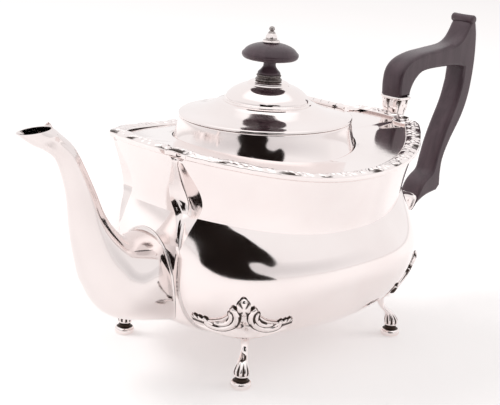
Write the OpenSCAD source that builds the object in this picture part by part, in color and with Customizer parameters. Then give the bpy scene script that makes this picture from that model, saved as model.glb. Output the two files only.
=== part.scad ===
// Silver teapot on four feet, with an ebonised handle and knob and a hinged lid.
// X runs from the spout (-) to the handle (+), Y across, Z up; the feet stand on Z = 0.

/* [Rim and neck] */
// Length of the body at the rim
rim_len = 168; // [165:1:180]
// Width of the body at the rim
rim_wid = 124; // [116:1:132]
// Height of the rim in the middle of the long sides
rim_z = 96; // [96:0.5:102]
// How much higher the rim stands at the two ends
rim_rise = 10; // [3:0.5:12]
// Length of the body at the waist
waist_len = 154; // [148:1:160]
// Width of the body at the waist
waist_wid = 110; // [104:1:116]
// Height of the waist in the middle of the long sides
waist_z = 69.5; // [66:0.5:72]
// Shift of the body's middle from the middle of the whole pot
body_x = -3; // [-6:0.5:0]
// Half width of the flat panel at each end
panel_half = 21; // [17:1:26]
// Widest half chord of the hollow flutes at the four corners
flute_half = 8; // [5:0.5:10]
// Thickness of the silver sheet
wall = 1.2; // [1:0.1:1.6]

/* [Belly] */
// Length of the belly at its widest
belly_len = 160; // [157:1:170]
// Width of the belly at its widest
belly_wid = 128; // [128:1:140]
// Height of the widest line of the belly
belly_z = 51.5; // [48:0.5:54]
// Length of the flat base
base_len = 92; // [80:1:100]
// Width of the flat base
base_wid = 66; // [58:1:72]
// Height of the underside of the body above the table
base_z = 17.5; // [14:0.5:20]

/* [Border and top] */
// Width of the cast border round the rim
border_w = 5.5; // [4:0.5:7]
// Height of the cast border
border_h = 2.6; // [2:0.2:4]
// Shift of the lid centre towards the spout
lid_shift = 9; // [6:1:11]
// Length of the lid across its rim, from the front to the middle line, doubled
lid_len = 88; // [80:1:92]
// Width of the lid across its rim
lid_wid = 78; // [70:1:84]
// Height of the seat that the lid rests on
seat_z = 112.5; // [108:0.5:116]
// Width of the seat ring
seat_w = 5; // [4:0.5:6]
// How far the foot of the hollow collar spreads outside the seat
collar_spread = 3; // [2:0.5:6]

/* [Lid] */
// Height of the lid from the seat to the top of its dome
dome_h = 17; // [14:1:20]
// Radius of the round upper dome
dome_r = 20; // [17:1:22]
// Depth of the ring inside the lid that drops into the collar
bezel_h = 4; // [3:0.5:6]
// Distance from the lid centre to the hinge pin
hinge_x = 43; // [41:0.5:43]
// Length of the hinge
hinge_len = 25; // [20:1:28]
// Radius of the hinge barrels
barrel_r = 1.6; // [1.4:0.1:2]
// Radius of the hinge pin
pin_r = 0.7; // [0.5:0.1:0.9]

/* [Knob] */
// Radius of the ebonised knob
knob_r = 13.5; // [11:0.5:15]
// Height of the knob from its metal ring to its crown
knob_h = 15; // [12:1:18]
// Height of the silver button above the knob
button_h = 7.5; // [6.5:0.5:10]
// Radius of the stud through the knob
stud_r = 1.5; // [1.2:0.1:2]

/* [Spout] */
// Distance from the middle of the body to the tip of the spout
spout_reach = 152; // [146:1:156]
// Height of the spout's mouth
spout_z = 122.5; // [116:0.5:126]
// Half height of the spout where it meets the body
spout_root_r = 23; // [20:0.5:24]
// Radius of the spout at its narrowest
spout_tip_r = 4.6; // [4.2:0.1:5.4]
// Radius of the strainer holes in the body wall
strainer_r = 1.3; // [1:0.1:1.6]

/* [Handle] */
// Distance from the middle of the body to the back of the handle
handle_reach = 152; // [148:1:156]
// Thickness of the handle from side to side
handle_w = 13; // [11:0.5:15]
// Radius of the thumb roll on the handle
roll_r = 2.5; // [2:0.1:3]
// Radius of the pins that hold the handle in its sockets
rivet_r = 1.2; // [0.8:0.1:1.5]

/* [Feet] */
// Distance of the feet from the middle, along the body
foot_x = 54; // [50:1:58]
// Distance of the feet from the middle, across the body
foot_y = 41; // [38:1:44]
// Radius of the round pad under each foot
pad_r = 5; // [4:0.5:6]
// Height of the crest of each foot's apron
crest_z = 46; // [42:1:48]

/* [Hidden] */
$fn = 48;
silver = "#d9d6d4";
ebony = "#2b2627";
brass = "#c9a55a";
seam = 0.1;
fit = 0.3;
run = 0.05;
quad = 14;
panel_t = 3 / quad;
flute_t = 7 / quad;
oval_power = 2.3;
// shares of the rim's rise at the two ends
spout_end = 1.15;
handle_end = 0.78;
// how full the long sides stay towards the two ends
spout_bow = 2.6;
handle_bow = 2.1;
// how much deeper the flutes cut into the rim, and the share of the neck below it that this takes
ear = 3.6;
ear_share = 0.1;

// ---- closed skins from rings of points ----
function band(n, m, i) = [for (j = [0:n - 1]) let (k = (j + 1) % n, o = (i + 1) % m)
    each [[i * n + j, i * n + k, o * n + k], [i * n + j, o * n + k, o * n + j]]];
function middle(r) = [for (k = [0:2]) [for (p = r) p[k]] * [for (p = r) 1] / len(r)];

// rings joined end to end in a loop, for a hollow shell or a ring
module shell(rings) {
    n = len(rings[0]);
    m = len(rings);
    polyhedron([for (r = rings) each r], [for (i = [0:m - 1]) each band(n, m, i)]);
}

// rings joined in a row and closed at both ends
module solid(rings) {
    n = len(rings[0]);
    m = len(rings);
    a = n * m;
    polyhedron([for (r = rings) each r, middle(rings[0]), middle(rings[m - 1])],
        [for (i = [0:m - 2]) each band(n, m, i),
         for (j = [0:n - 1]) [a, (j + 1) % n, j],
         for (j = [0:n - 1]) [a + 1, (m - 1) * n + j, (m - 1) * n + (j + 1) % n]]);
}

// ---- the body's plan ----
// one quarter of the panelled plan: flat end, hollow flute, bowed side
function quarter(t, hl, hw, c, bow) =
    let (e = [hl - 1, panel_half - 1.05 * c], s = [hl - 1 - 0.8 * c, panel_half + 0.75 * c])
    t <= panel_t ? [hl - pow(t / panel_t, 2), e[1] * t / panel_t] :
    t <= flute_t ? let (u = (t - panel_t) / (flute_t - panel_t))
        e + (s - e) * u - [1, 1] * 0.45 * c * sin(180 * u) :
    let (v = (1 - t) / (1 - flute_t)) [s[0] * v, hw - (hw - s[1]) * pow(v, bow)];
function oval(a, hl, hw) =
    let (r = pow(pow(abs(cos(a)), oval_power) + pow(abs(sin(a)), oval_power), -1 / oval_power))
    [hl * r * cos(a), hw * r * sin(a)];
// mix = 0 is the panelled plan, 1 the oval one
function plan(t, hl, hw, c, mix, bow) =
    let (p = quarter(t, hl, hw, c, bow))
    p * (1 - mix) + oval(atan2(p[1] / hw, p[0] / hl), hl, hw) * mix;
function ring(hl, hw, c, mix, z, rise) =
    [for (q = [0:3], i = [0:quad - 1])
        let (t = q % 2 == 0 ? i / quad : 1 - i / quad, back = q == 0 || q == 3,
            p = plan(t, hl, hw, c, mix, back ? handle_bow : spout_bow))
        [body_x + (back ? 1 : -1) * p[0], (q < 2 ? 1 : -1) * p[1],
            z + rise * pow(p[0] / hl, 2) * (back ? handle_end : spout_end)]];
function blend(a, b, k) = a + (b - a) * k;

neck_curve = 1.3;
// the neck, u = 0 at the waist and 1 at the rim; inset moves it inwards
function flute(u) = flute_half * (0.2 + 0.8 * sin(143 * pow(max(0, 1 - u), 1.3)))
    + ear * pow(max(0, 1 - (1 - u) / ear_share), 2);
function neck_ring(u, inset, up = 0) =
    ring(blend(waist_len, rim_len, pow(u, neck_curve)) / 2 - inset,
         blend(waist_wid, rim_wid, pow(u, neck_curve)) / 2 - inset, flute(u), 0,
         blend(waist_z, rim_z, u) + up, rim_rise * (0.9 + 0.1 * u));
// the shoulder, w = 0 at the waist and 1 at the widest line
function shoulder_ring(w, inset) =
    let (k = 1 - pow(1 - w, 1.9))
    ring(blend(waist_len, belly_len, k) / 2 - inset, blend(waist_wid, belly_wid, k) / 2 - inset,
         flute(0) * max(0, 1 - 1.7 * w), pow(w, 0.6), blend(waist_z, belly_z, w), rim_rise * 0.9 * (1 - w));
// the bowl, w = 0 at the widest line and 1 at the base
function bowl_ring(w, inset) =
    ring(blend(base_len, belly_len, cos(90 * w)) / 2 - inset,
         blend(base_wid, belly_wid, cos(90 * w)) / 2 - inset, 0, 1,
         belly_z - (belly_z - base_z) * sin(90 * w), 0);
// share of the belly's size at a height below its widest line
function bowl_share(z) = cos(asin(min(1, max(0, (belly_z - z) / (belly_z - base_z)))));
function belly_half(z, wid, low, top) = z < belly_z ? blend(low, wid, bowl_share(z)) / 2 :
    blend(wid, top, pow(max(0, (z - belly_z) / (waist_z - belly_z)), 1.9)) / 2;
// how far out from the body's middle the belly's skin lies along X at a given Y and Z
function belly_x(y, z) =
    let (hl = belly_half(z, belly_len, base_len, waist_len), hw = belly_half(z, belly_wid, base_wid,
        waist_wid))
    hl * pow(max(0.01, 1 - pow(abs(y) / hw, oval_power)), 1 / oval_power);
// the same at one end, shoulder included; lift is that end's share of the rim's rise
function end_x(y, z, lift) = z < belly_z ? belly_x(y, z) :
    let (top = waist_z + rim_rise * 0.9 * lift, w = max(0, (top - z) / (top - belly_z)),
        k = 1 - pow(1 - w, 1.9),
        hl = blend(waist_len, belly_len, k) / 2, hw = blend(waist_wid, belly_wid, k) / 2)
    blend(hl, hl * pow(max(0.01, 1 - pow(abs(y) / hw, oval_power)), 1 / oval_power), pow(w, 0.6));
// the belly's skin in direction a at height z, moved outwards by out
function belly_point(a, z, out) =
    let (hl = belly_half(z, belly_len, base_len, waist_len), hw = belly_half(z, belly_wid, base_wid,
        waist_wid))
    concat(oval(atan2(sin(a) / hw, cos(a) / hl), hl, hw) + out * [cos(a), sin(a)] + [body_x, 0], z);

// ---- body ----
strainer_z = 46.5;
module body() {
    outer = concat([for (i = [6:-1:0]) neck_ring(i / 6, 0)], [for (i = [1:4]) shoulder_ring(i / 4, 0)],
                   [for (i = [1:6]) bowl_ring(i / 6, 0)]);
    inner = concat([for (i = [5:-1:0]) bowl_ring(i / 6 * 0.97, wall)],
                   [for (i = [3:-1:1]) shoulder_ring(i / 4, wall)],
                   [for (i = [0:2:6]) neck_ring(i / 6, wall)]);
    color(silver) difference() {
        shell(concat(outer, [bowl_ring(1, 3 * wall)], [bowl_ring(0.98, 3 * wall)], inner));
        for (row = [-2:2], col = [-2:2])
            if (abs(row) + abs(col) < 4)
                translate([body_x - belly_len / 2 - 2, col * 4 * strainer_r,
                    strainer_z + row * 4 * strainer_r])
                    rotate([0, 90, 0])
                        cylinder(r = strainer_r, h = 30, $fn = 16);
    }
}

module base_plate() {
    color(silver) solid([bowl_ring(1, 0.5), bowl_ring(1, 0.5) - [for (p = [1:4 * quad]) [0, 0, wall]]]);
}

// ---- cast border and top ----
plate_t = 1;
border_out = 2.2;
module rim_border() {
    half_l = rim_len / 2;
    half_w = rim_wid / 2;
    c = flute(1);
    // section of the border: [distance outwards, height above the plate]
    section = [[-border_w, 0.7], [-border_w + 0.8, border_h * 0.55], [-border_w * 0.45, border_h],
        [border_out - 1.4, border_h * 0.9], [border_out, border_h * 0.35], [border_out, -border_h * 0.4],
        [seam + 0.2, -border_h * 0.7], [seam + 0.2, 0]];
    color(silver) shell([for (s = section)
        ring(half_l + s[0], half_w + s[0], c, 0, rim_z + plate_t + seam + s[1], rim_rise)]);
}

lid_x = -lid_shift;
pivot_x = lid_x + hinge_x;
foot_z = rim_z + 0.25 * rim_rise + plate_t;
// the plate around the collar stands higher towards spout and handle
function foot_level(x) = foot_z + 0.35 * rim_rise * pow((x - lid_x) / (lid_len / 2), 2);
function lift(ring, k) = [for (p = ring) [p[0], p[1], blend(seat_z, foot_level(p[0]), k)]];
// the lid's plan: an oval cut off straight in front of the hinge
function lid_ring(grow, z, cut, wid = lid_wid, len = lid_len) =
    [for (i = [0:4 * quad - 1]) let (a = i * 90 / quad)
        [lid_x + min(cut, (len / 2 + grow) * cos(a)), (wid / 2 + grow) * sin(a), z]];
shelf = hinge_x + barrel_r + 2.5;

function collar_ring(k, inset) =
    let (out = collar_spread * pow(k, 1.8))
    lift(lid_ring(-inset, seat_z, shelf + out * 0.2 - inset, lid_wid + 2 * out, lid_len + out), k);
module top_plate() {
    rim_top = neck_ring(1, 0, seam);
    rim_over = neck_ring(1, 0, plate_t + seam);
    hole = collar_ring(1, 2);
    color(silver) shell([rim_over, [for (p = hole) p - [0, 0, fit]], [for (p = hole) p - [0, 0,
        fit + plate_t]], rim_top]);
}

module lid_collar() {
    outer = [for (i = [0:6]) collar_ring(i / 6, 0)];
    inner = [for (i = [6:-1:1]) collar_ring(i / 6, wall)];
    color(silver) shell(concat([lid_ring(-seat_w, seat_z, hinge_x - 4)], outer, inner,
        [lid_ring(-wall, seat_z - wall, shelf - wall), lid_ring(-seat_w, seat_z - wall, hinge_x - 4)]));
}

// ---- lid and hinge ----
lid_cut = hinge_x - barrel_r - fit;
lid_low = seat_z + fit;
lid_wall = 1;
dome_top = lid_low + dome_h;
neck_r = dome_r + 3;
hole_r = stud_r + 0.1;
// one level of the lid: share of the way from its edge to the foot of the dome, height, inset
function skirt_ring(k, h, inset) =
    let (rx = blend(lid_len / 2 - inset, neck_r - inset, k), ry = blend(lid_wid / 2 - inset,
        neck_r - inset, k),
        cut = blend(lid_cut - inset, neck_r + 1, k))
    [for (i = [0:4 * quad - 1]) let (a = i * 90 / quad)
        [lid_x + min(cut, rx * cos(a)), ry * sin(a), lid_low + h * dome_h - inset * 0.8]];
function dome_ring(k, h, inset) = [for (i = [0:4 * quad - 1]) let (a = i * 90 / quad, r = max(hole_r,
    dome_r * k - inset * 0.6))
    [lid_x + r * cos(a), r * sin(a), lid_low + h * dome_h - inset * 0.8]];
// dome profile from the knob down: [share of the dome's radius, share of its height]
dome_steps = [[0.08, 1], [0.34, 1], [0.47, 0.95], [0.52, 0.9], [0.66, 0.86], [0.8, 0.77], [0.92, 0.65],
    [0.99, 0.53], [1.01, 0.45], [1.08, 0.41]];
// skirt profile from the dome down: [share of the way in from the edge, share of the height]
skirt_steps = [[0.95, 0.36], [0.8, 0.28], [0.55, 0.18], [0.3, 0.12], [0.1, 0.09], [0, 0.06]];
function lid_side(inset) = concat([for (d = dome_steps) dome_ring(d[0], d[1], inset)],
    [for (k = skirt_steps) skirt_ring(k[0], k[1], inset)]);
function reverse(v) = [for (i = [len(v) - 1:-1:0]) v[i]];
module lid() {
    edge = [for (r = [skirt_ring(0, 0, 0), skirt_ring(0, 0, lid_wall)]) [for (p = r) [p[0], p[1], lid_low]]];
    color(silver) shell(concat(lid_side(0), edge, reverse(lid_side(lid_wall))));
}

module lid_bezel() {
    out = seat_w + fit;
    cut = hinge_x - 4 - fit;
    color(silver) shell([lid_ring(-out, lid_low + 0.2, cut), lid_ring(-out, lid_low - bezel_h, cut),
        lid_ring(-out - 1, lid_low - bezel_h, cut - 1), lid_ring(-out - 1, lid_low + 0.2, cut - 1)]);
}

pivot_z = seat_z + barrel_r + 0.2;
knuckle = hinge_len / 5;
module barrel(first, bore) {
    for (i = [first:2:4])
        translate([pivot_x, -hinge_len / 2 + i * knuckle + (i > 0 ? 0.1 : 0), pivot_z])
            rotate([-90, 0, 0])
                difference() {
                    cylinder(r = barrel_r, h = knuckle - (i > 0 && i < 4 ? 0.2 : 0.1), $fn = 32);
                    translate([0, 0, -1])
                        cylinder(r = bore, h = knuckle + 2, $fn = 32);
                }
}

module hinge_body_knuckles() {
    color(silver) {
        difference() {
            union() {
                barrel(0, pin_r);
                for (i = [0:2:4])
                    translate([pivot_x, -hinge_len / 2 + i * knuckle + (i > 0 ? 0.1 : 0), seat_z + 0.05])
                        cube([barrel_r + 1.8, knuckle - (i > 0 && i < 4 ? 0.2 : 0.1), 0.9]);
                translate([pivot_x + barrel_r + 0.3, -hinge_len / 2, seat_z + 0.05])
                    cube([1.5, hinge_len, 0.9]);
            }
            translate([pivot_x, -hinge_len / 2 - 1, pivot_z])
                rotate([-90, 0, 0])
                    cylinder(r = pin_r, h = hinge_len + 2, $fn = 32);
        }
    }
}

leaf_z = seat_z + 1.9;
module hinge_lid_knuckles() {
    color(silver) {
        difference() {
            union() {
                barrel(1, pin_r + run);
                for (i = [1:2:3])
                    translate([pivot_x - barrel_r - 2, -hinge_len / 2 + i * knuckle + 0.1, leaf_z])
                        cube([barrel_r + 2, knuckle - 0.2, 0.9]);
                translate([pivot_x - barrel_r - 2, -hinge_len / 2 + knuckle + 0.1, leaf_z])
                    cube([1.6, 3 * knuckle - 0.2, 0.9]);
            }
            translate([pivot_x, -hinge_len / 2 - 1, pivot_z])
                rotate([-90, 0, 0])
                    cylinder(r = pin_r + run, h = hinge_len + 2, $fn = 32);
        }
    }
}

module hinge_pin() {
    color(silver) translate([pivot_x, -hinge_len / 2 - 0.4, pivot_z])
        rotate([-90, 0, 0])
            cylinder(r = pin_r, h = hinge_len + 0.8, $fn = 32);
}

// ---- knob ----
nut_h = 2.5;
lid_under = dome_top - lid_wall * 0.8 - run;
knob_z = dome_top + 3;
module knob_ring() {
    color(silver) translate([lid_x, 0, dome_top])
        rotate_extrude()
            polygon([[stud_r + 0.1, 0.05], [6.2, 0.05], [6.4, 0.6], [5.6, 1.2], [5.6, 1.8], [6, 2.3],
                [5.6, 3],
                [stud_r + 0.1, 3]]);
}

function arc(cx, cy, rx, ry, from, to, n) =
    [for (i = [0:n]) let (a = blend(from, to, i / n)) [cx + rx * cos(a), cy + ry * sin(a)]];
module knob() {
    cap = knob_h * 0.62;
    color(ebony) translate([lid_x, 0, knob_z])
        rotate_extrude()
            polygon(concat([[stud_r + 0.1, 0], [5.4, 0], [5.4, 1], [4, 2.5], [3, 4.2], [3.4, cap - 2.6],
                    [knob_r * 0.5, cap - 1.8]],
                arc(knob_r - 2.4, cap, 2.4, 2.2, -90, 20, 5),
                arc(0, cap + 0.6, knob_r - 0.8, knob_h - cap - 0.6, 12, 72, 7), [[stud_r + 0.1, knob_h]]));
}

button_z = knob_z + knob_h;
module knob_button() {
    nut_bottom = lid_under - 1.5 - nut_h;
    color(silver) translate([lid_x, 0, 0]) {
        translate([0, 0, nut_bottom])
            cylinder(r = stud_r, h = button_z - nut_bottom + 0.2, $fn = 24);
        translate([0, 0, button_z + 0.1])
            rotate_extrude()
                polygon(concat([[0, 0], [4.1, 0], [4.1, 0.9], [3, 1.3], [2.6, 1.6], [2.9, 2.1]],
                    arc(0, 2.6, 2.5, button_h * 0.42, 10, 68, 5),
                    [[0.8, button_h * 0.72]], arc(0, button_h - 1.4, 1.4, 1.4, -50, 90, 6)));
    }
}

module knob_washer() {
    color(brass) translate([lid_x, 0, lid_under - 1])
        difference() {
            cylinder(r = 4.2, h = 1);
            translate([0, 0, -1])
                cylinder(r = stud_r + 0.1, h = 4, $fn = 24);
        }
}

module knob_nut() {
    color(brass) translate([lid_x, 0, lid_under - 1.05 - nut_h])
        difference() {
            cylinder(r = 3.4, h = nut_h, $fn = 6);
            translate([0, 0, -1])
                cylinder(r = stud_r + run, h = 5, $fn = 24);
        }
}

// ---- spout ----
spout_run = 50;
spout_drop = 73;
spout_swell = 14.4;
lip_wide = 0.6;
tip_x = -spout_reach + 6.5;
// centre line from the mouth to the root: shares of the run, the drop and the swelling of its half height
spout_path = [for (p = [[0.076, -0.004, 0.389], [0.13, 0.049, 0.153], [0.22, 0.101, 0.014], [0.34,
    0.178, 0.014],
        [0.43, 0.288, 0.049], [0.52, 0.438, 0.125], [0.6, 0.616, 0.264], [0.7, 0.767, 0.444], [0.83,
            0.897, 0.694],
        [1, 1, 1]])
    [tip_x + p[0] * spout_run, spout_z - p[1] * spout_drop, spout_tip_r + p[2] * spout_swell]];
spout_turn = [-82, -60, -46, -54, -64, -70, -68, -58, -44, -24];
spout_sides = 24;
function spout_ring(i, inset) =
    let (p = spout_path[i], a = spout_turn[i], r = p[2] - inset, 
        w = (i < 2 ? spout_tip_r + lip_wide : p[2] * 0.96) - inset)
    [for (j = [0:spout_sides - 1]) let (b = j * 360 / spout_sides)
        [p[0] + r * cos(b) * sin(-a), w * sin(b), p[1] + r * cos(b) * cos(a)]];
function spout_foot(inset) =
    [for (j = [0:spout_sides - 1]) let (b = j * 360 / spout_sides,
        y = (spout_root_r * 0.82 - inset) * sin(b), z = strainer_z - 1 + (spout_root_r - inset) * cos(b))
        [body_x - end_x(y, z, spout_end) - fit, y, z]];
module spout() {
    last = len(spout_path) - 1;
    color(silver) shell(concat([for (i = [0:last]) spout_ring(i, 0)], [spout_foot(0)],
        [spout_foot(wall)], [for (i = [last:-1:0]) spout_ring(i, 1)]));
}

// ---- handle ----
handle_h = 99.8;
upper_x = 90.3;
lower_z = 52;
grip_l = handle_reach - upper_x;
roll_z = lower_z + handle_h;
upper_z = lower_z + 0.616 * handle_h;
lower_x = upper_x + 0.292 * grip_l;
lower_tilt = 60;
roll_x = upper_x + 0.89 * grip_l;
// side outline of the handle, in shares of its length and height: the top up to the thumb roll,
grip_top = [
    [-0.078, 0.616], [-0.086, 0.686], [-0.062, 0.757], [0.028, 0.807], [0.19, 0.837], [0.417, 0.852],
    [0.643, 0.867], [0.749, 0.895], [0.809, 0.938], [0.841, 0.976]];
// then the back, the spur, the lower end and the finger gap
grip_back = [
    [0.955, 0.982], [0.981, 0.922], [0.994, 0.852], [1, 0.777], [0.99, 0.676], [0.959, 0.566],
    [0.887, 0.456], [0.741, 0.326], [0.66, 0.225], [0.652, 0.125], [0.66, 0.075], [0.611, 0.045],
    [0.465, 0.03], [0.352, 0], [0.254, -0.04], [0.327, 0.04], [0.384, 0.1], [0.449, 0.135],
    [0.53, 0.15], [0.546, 0.225], [0.595, 0.326], [0.676, 0.426], [0.773, 0.546], [0.825, 0.656],
    [0.838, 0.736], [0.741, 0.747], [0.514, 0.752], [0.238, 0.741], [0.141, 0.706], [0.089, 0.656],
    [0.076, 0.616]];
function grip_points(line) = [for (p = line) [upper_x + p[0] * grip_l, lower_z + p[1] * handle_h]];
handle_outline = concat(grip_points(grip_top), arc(roll_x, roll_z, roll_r, roll_r, 225, 20, 9),
    grip_points(grip_back));
roll_out = 0.8;
tenon_deep = 8;
tenon_w = handle_w - 4;
module upper_tenon(gap) {
    translate([upper_x - 3.8 - gap, -tenon_w / 2 - gap, upper_z - tenon_deep - gap])
        cube([7.6 + 2 * gap, tenon_w + 2 * gap, tenon_deep + gap + 1]);
}
module lower_tenon(gap) {
    translate([lower_x, 0, lower_z])
        rotate([0, -lower_tilt, 0])
            translate([-2.5 - gap, -tenon_w / 2 - gap, -1])
                cube([5 + 2 * gap, tenon_w + 2 * gap, tenon_deep + gap + 1]);
}
module rivet(x, z, r, length) {
    translate([x, 0, z])
        rotate([90, 0, 0])
            cylinder(r = r, h = length, center = true, $fn = 24);
}
lower_rivet_x = lower_x - 4.5 * sin(lower_tilt);
lower_rivet_z = lower_z + 4.5 * cos(lower_tilt);
upper_rivet_z = upper_z - 4.5;
module handle() {
    color(ebony) difference() {
        union() {
            translate([0, handle_w / 2, 0])
                rotate([90, 0, 0])
                    linear_extrude(handle_w)
                        polygon(handle_outline);
            translate([roll_x, -handle_w / 2 - roll_out, roll_z])
                rotate([-90, 0, 0])
                    cylinder(r = roll_r, h = handle_w + 2 * roll_out);
            upper_tenon(0);
            lower_tenon(0);
        }
        rivet(upper_x, upper_rivet_z, rivet_r + run, 40);
        rivet(lower_rivet_x, lower_rivet_z, rivet_r + run, 40);
    }
}

socket_drop = 17.5;
// a rounded rectangle across the run of a socket: place, half sizes, tilt of its long axis
function box_ring(x, z, a, b, tilt = 0) = [for (j = [0:23]) let (q = j * 15,
    k = pow(pow(abs(cos(q)), 4) + pow(abs(sin(q)), 4), -0.25), u = a * k * cos(q))
    [x + u * cos(tilt), b * k * sin(q), z + u * sin(tilt)]];
module upper_socket() {
    color(silver) difference() {
        solid([box_ring(upper_x, upper_z, 6.2, handle_w / 2 + 1.6), box_ring(upper_x, upper_z - 1.4,
            6.2, handle_w / 2 + 1.6),
            box_ring(upper_x, upper_z - 2.4, 5.4, handle_w / 2 + 0.4),
            box_ring(upper_x, upper_z - 9, 4.6, handle_w / 2 - 1), box_ring(upper_x - 0.4,
                upper_z - 12.5, 3.9, 4.6),
            box_ring(upper_x - 2.6, upper_z - 15.5, 3.6, 3.8, -25), box_ring(upper_x - 6.2,
                upper_z - 17, 3.2, 3, -65),
            box_ring(rim_in_x + fit, upper_z - socket_drop, 2.6, 2.4, -107)]);
        upper_tenon(seam);
        rivet(upper_x, upper_rivet_z, rivet_r + run, 40);
    }
}
// the neck's skin at the height where the upper socket is soldered on
rim_in_x = body_x + blend(waist_len, rim_len,
    pow((upper_z - socket_drop - waist_z - rim_rise * 0.9 * handle_end)
    / (rim_z - waist_z), neck_curve)) / 2;

module lower_socket() {
    foot = [for (j = [0:23]) let (y = 9 * sin(15 * j), z = lower_z + 2 + 9 * cos(15 * j))
        [body_x + end_x(y, z, handle_end) + fit, y, z]];
    half = handle_w / 2;
    color(silver) difference() {
        solid([box_ring(lower_x - 0.1, lower_z + 0.1, 5.2, half + 0.4, lower_tilt),
            box_ring(lower_x - 1.6, lower_z + 0.8, 5.4, half + 0.6, lower_tilt),
            box_ring(lower_x - 4, lower_z + 2, 4.8, half - 0.4, lower_tilt + 4),
            box_ring(lower_x - 12, lower_z + 3, 4.6, half - 0.8, 78), box_ring(lower_x - 20,
                lower_z + 2.5, 5, half - 0.6, 86),
            foot]);
        lower_tenon(seam);
        rivet(lower_rivet_x, lower_rivet_z, rivet_r + run, 40);
    }
}

module upper_rivet() {
    color(silver) rivet(upper_x, upper_rivet_z, rivet_r, handle_w);
}

module lower_rivet() {
    color(silver) rivet(lower_rivet_x, lower_rivet_z, rivet_r, handle_w - 1);
}

// ---- feet: an apron that follows the belly, a cabriole leg, a fluted hoof and a round pad ----
foot_a = atan2(foot_y, foot_x);
foot_r = norm([foot_x, foot_y]);
apron_rows = 6;
// the apron's upper and lower edges at a distance s (-1 to 1) along its arms
function apron_top(s) = let (d = abs(s)) d < 0.16 ? crest_z - 1.5 - 6 * pow(d / 0.16, 2) :
    d < 0.42 ? crest_z - 7.5 - 5 * (d - 0.16) / 0.26 : crest_z - 12.5 - 1.6 * sin(180 * (d - 0.42) / 0.58);
function apron_low(s) = let (d = abs(s)) crest_z - 21 + 6.2 * pow(d, 0.7);
apron_half = 22;
apron_t = 1.4;
function foot_dir(a) = [cos(a), sin(a)];
module apron(sx, sy) {
    a0 = atan2(sy * foot_y, sx * foot_x);
    cols = 16;
    function edge(i, k, out) = let (s = 2 * i / cols - 1, z = blend(apron_top(s), apron_low(s), k))
        belly_point(a0 + s * apron_half / foot_r * 57.3, z, out);
    solid([for (i = [cols:-1:0]) concat(
        [for (k = [0:apron_rows]) edge(i, k / apron_rows, apron_t + seam)],
        [for (k = [apron_rows:-1:0]) edge(i, k / apron_rows, seam)])]);
}
// leg stations: [distance from the middle of the body, height, half thickness out, half width]
function skin_r(z) = let (p = belly_point(foot_a, z, 0)) norm([p[0] - body_x, p[1]]);
function against(z, a, b) = [skin_r(z) + a + 0.5, z, a, b];
leg = [against(crest_z - 12, 1.8, 3), against(crest_z - 16, 2, 3.8), against(crest_z - 20.5, 2, 3),
    [foot_r - 7.4, crest_z - 25, 1.6, 1.6], [foot_r - 6, 14, 1.5, 1.5], [foot_r - 1.2, 11, 2.4, 2.6],
        [foot_r, 8, 3.6, 3.9],
    [foot_r, 6, 3.2, 3.6]];
module foot(sx, sy) {
    a0 = atan2(sy * foot_y, sx * foot_x);
    color(silver) {
        apron(sx, sy);
        translate([body_x, 0, 0]) {
            rotate([0, 0, a0]) {
                solid([for (q = leg) [for (j = [0:11]) let (b = j * 30) [q[0] + q[2] * cos(b),
                    q[3] * sin(b), q[1]]]]);
                translate([foot_r, 0, 0])
                    rotate_extrude()
                        polygon([[0, 0], [pad_r - 0.6, 0], [pad_r, 0.8], [pad_r, 2.4], [pad_r - 0.8,
                            3.2], [pad_r * 0.62, 3.6],
                            [pad_r * 0.58, 5], [pad_r * 0.7, 6.2], [0, 6.2]]);
            }
        }
    }
}
module foot_front_spout() { foot(-1, -1); }
module foot_back_spout() { foot(-1, 1); }
module foot_front_handle() { foot(1, -1); }
module foot_back_handle() { foot(1, 1); }

body();
base_plate();
rim_border();
top_plate();
lid_collar();
spout();
upper_socket();
lower_socket();
handle();
upper_rivet();
lower_rivet();
foot_front_spout();
foot_back_spout();
foot_front_handle();
foot_back_handle();
hinge_body_knuckles();
hinge_pin();
hinge_lid_knuckles();
lid();
lid_bezel();
knob_ring();
knob();
knob_button();
knob_washer();
knob_nut();
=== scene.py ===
import bpy
import math
from mathutils import Vector, Matrix
from mathutils.geometry import tessellate_polygon


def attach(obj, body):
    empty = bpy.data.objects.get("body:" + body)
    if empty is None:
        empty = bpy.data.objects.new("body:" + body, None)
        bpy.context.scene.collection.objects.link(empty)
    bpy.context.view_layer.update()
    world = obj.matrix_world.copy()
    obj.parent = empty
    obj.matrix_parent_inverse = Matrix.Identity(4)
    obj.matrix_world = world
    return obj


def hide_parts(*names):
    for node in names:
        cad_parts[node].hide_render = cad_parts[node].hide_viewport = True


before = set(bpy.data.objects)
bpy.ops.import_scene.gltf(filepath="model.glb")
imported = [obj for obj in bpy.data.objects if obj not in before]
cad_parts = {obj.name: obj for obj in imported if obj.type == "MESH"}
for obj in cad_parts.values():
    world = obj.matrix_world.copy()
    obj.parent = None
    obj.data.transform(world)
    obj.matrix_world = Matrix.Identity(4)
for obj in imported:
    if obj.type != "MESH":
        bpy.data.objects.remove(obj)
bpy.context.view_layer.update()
mm = 0.001
print("frame loaded")


class Wire:  # a socket that can be used in sums
    def __init__(self, paint, socket):
        self.paint, self.socket = paint, socket

    def maths(self, operation, other, flip=False, clamp=False):
        pair = [other, self] if flip else [self, other]
        return self.paint.add("ShaderNodeMath", {"operation": operation, "use_clamp": clamp}, dict(enumerate(pair)))

    def __add__(self, other): return self.maths("ADD", other)
    def __radd__(self, other): return self.maths("ADD", other, True)
    def __sub__(self, other): return self.maths("SUBTRACT", other)
    def __mul__(self, other): return self.maths("MULTIPLY", other)
    def __rmul__(self, other): return self.maths("MULTIPLY", other, True)
    def clamp(self): return self.maths("ADD", 0.0, clamp=True)


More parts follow.
